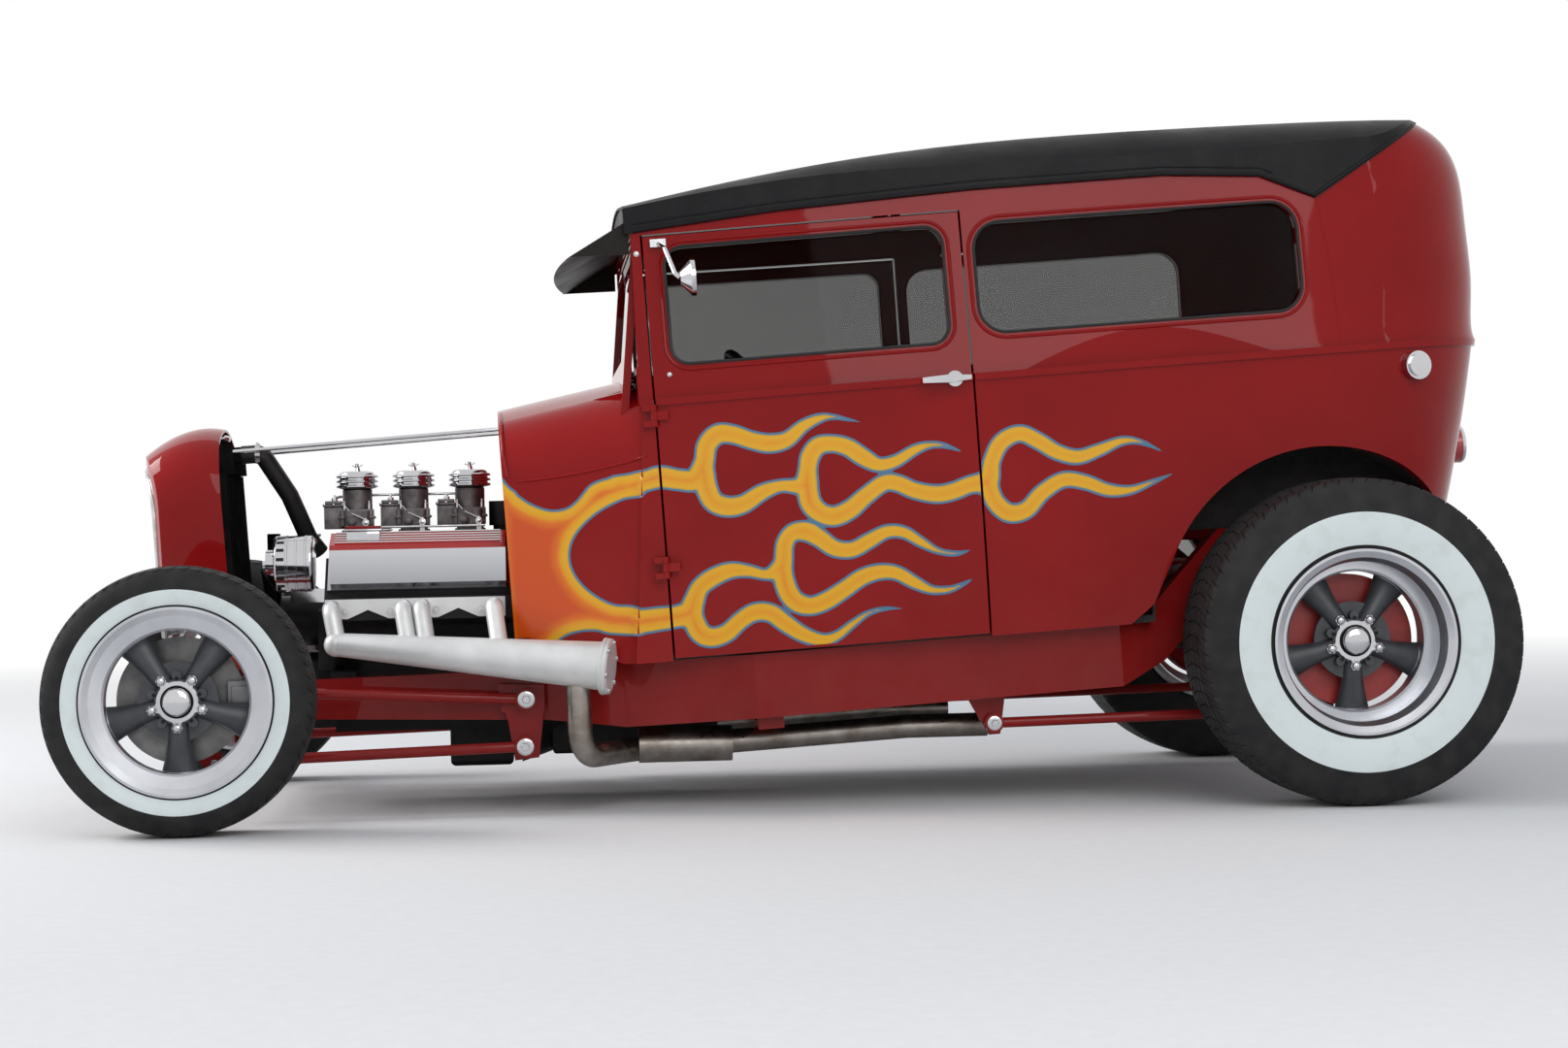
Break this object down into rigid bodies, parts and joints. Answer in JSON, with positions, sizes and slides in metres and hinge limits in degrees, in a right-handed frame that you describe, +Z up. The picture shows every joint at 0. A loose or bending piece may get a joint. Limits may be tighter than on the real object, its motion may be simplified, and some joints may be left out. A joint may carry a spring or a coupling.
{
  "type": "hot rod car",
  "caption": "Chopped two-door sedan hot rod with an open V8, a flamed red body, a black padded roof, swinging doors, steering and rolling wheels.",
  "frame": {"origin": "on the ground under the middle of the car's length, on its centre plane", "axes": "+X towards the tail, +Y towards the car's right side, +Z up"},
  "size_m": [3.3549, 1.7044, 1.612],
  "materials": {
    "body_paint": "gloss",
    "frame_paint": "gloss",
    "cover_vinyl": "matte",
    "glass": "gloss",
    "chrome": "polished",
    "cast_aluminium": "satin",
    "engine_iron": "satin",
    "header_coat": "satin",
    "black_paint": "satin",
    "hose_rubber": "satin",
    "tyre_rubber": "matte",
    "wheel_grey": "satin",
    "brake_steel": "satin",
    "drum_red": "gloss",
    "upholstery": "satin",
    "lamp_red": "gloss",
    "cabin_grey": "matte",
    "rim_black": "gloss"
  },
  "bodies": {
    "body": {"cowl": "body_paint", "quarter_left": "body_paint", "quarter_right": "body_paint", "rear_panel": "body_paint", "roof": "body_paint", "windshield_frame": "body_paint", "radiator_shell": "body_paint", "frame": "frame_paint", "front_axle": "frame_paint", "rear_axle": "frame_paint", "radius_rods": "frame_paint", "trailing_bars": "frame_paint", "visor": "frame_paint", "roof_cover": "cover_vinyl", "fixed_glass": "glass", "stay_rods": "chrome", "fuel_cap": "chrome", "valve_covers": "chrome", "air_cleaners": "chrome", "alternator": "chrome", "intake_manifold": "cast_aluminium", "carburettors": "cast_aluminium", "engine_block": "engine_iron", "gearbox": "engine_iron", "headers": "header_coat", "exhaust_pipes": "header_coat", "radiator": "black_paint", "oil_pan": "black_paint", "fan": "black_paint", "drive_shaft": "black_paint", "grille": "black_paint", "radiator_hose": "hose_rubber", "front_seat": "upholstery", "rear_seat": "upholstery", "tail_lamps": "lamp_red", "floor_pan": "cabin_grey", "dashboard": "cabin_grey"},
    "door_left": {"door_left": "body_paint", "door_glass_left": "glass", "door_trim_left": "chrome"},
    "door_right": {"door_right": "body_paint", "door_glass_right": "glass", "door_trim_right": "chrome"},
    "steering_wheel": {"steering_wheel": "rim_black"},
    "knuckle_left": {"knuckle_left": "frame_paint"},
    "knuckle_right": {"knuckle_right": "frame_paint"},
    "tie_rod": {"tie_rod": "frame_paint"},
    "wheel_front_left": {"tyre_front_left": "tyre_rubber", "wheel_front_left": "wheel_grey", "brake_front_left": "brake_steel"},
    "wheel_front_right": {"tyre_front_right": "tyre_rubber", "wheel_front_right": "wheel_grey", "brake_front_right": "brake_steel"},
    "wheel_rear_left": {"tyre_rear_left": "tyre_rubber", "wheel_rear_left": "wheel_grey", "brake_rear_left": "drum_red"},
    "wheel_rear_right": {"tyre_rear_right": "tyre_rubber", "wheel_rear_right": "wheel_grey", "brake_rear_right": "drum_red"}
  },
  "joints": [
    {"name": "door_left_swing", "type": "hinge", "parent": "body", "child": "door_left", "pos_m": [-0.30921, -0.577, 0.73483], "axis": [0.0593, 0, -0.9982], "range_deg": [0, 65]},
    {"name": "door_right_swing", "type": "hinge", "parent": "body", "child": "door_right", "pos_m": [-0.30921, 0.577, 0.73483], "axis": [-0.0593, 0, 0.9982], "range_deg": [0, 65]},
    {"name": "hand_wheel_turn", "type": "hinge", "parent": "body", "child": "steering_wheel", "pos_m": [-0.02117, -0.33, 0.92825], "axis": [0.7837, 0, 0.6211], "range_deg": [-448, 448]},
    {"name": "steer_left", "type": "hinge", "parent": "body", "child": "knuckle_left", "pos_m": [-1.38051, -0.608, 0.297], "axis": [0, 0, 1], "range_deg": [-28, 28]},
    {"name": "steer_right", "type": "hinge", "parent": "body", "child": "knuckle_right", "pos_m": [-1.38051, 0.608, 0.297], "axis": [0, 0, 1], "range_deg": [-28, 28]},
    {"name": "tie_rod_swing", "type": "hinge", "parent": "knuckle_left", "child": "tie_rod", "pos_m": [-1.26052, -0.608, 0.205], "axis": [0, 0, 1], "range_deg": [-28, 28]},
    {"name": "spin_front_left", "type": "hinge", "parent": "knuckle_left", "child": "wheel_front_left", "pos_m": [-1.38051, -0.703, 0.297], "axis": [0, 1, 0], "continuous": true},
    {"name": "spin_front_right", "type": "hinge", "parent": "knuckle_right", "child": "wheel_front_right", "pos_m": [-1.38051, 0.703, 0.297], "axis": [0, 1, 0], "continuous": true},
    {"name": "spin_rear_left", "type": "hinge", "parent": "body", "child": "wheel_rear_left", "pos_m": [1.24849, -0.7245, 0.369], "axis": [0, 1, 0], "continuous": true},
    {"name": "spin_rear_right", "type": "hinge", "parent": "body", "child": "wheel_rear_right", "pos_m": [1.24849, 0.7245, 0.369], "axis": [0, 1, 0], "continuous": true}
  ],
  "couplings": [
    {"joint": "steer_left", "follows": "hand_wheel_turn", "ratio": 0.0625},
    {"joint": "steer_right", "follows": "hand_wheel_turn", "ratio": 0.0625},
    {"joint": "tie_rod_swing", "follows": "hand_wheel_turn", "ratio": -0.0625}
  ]
}
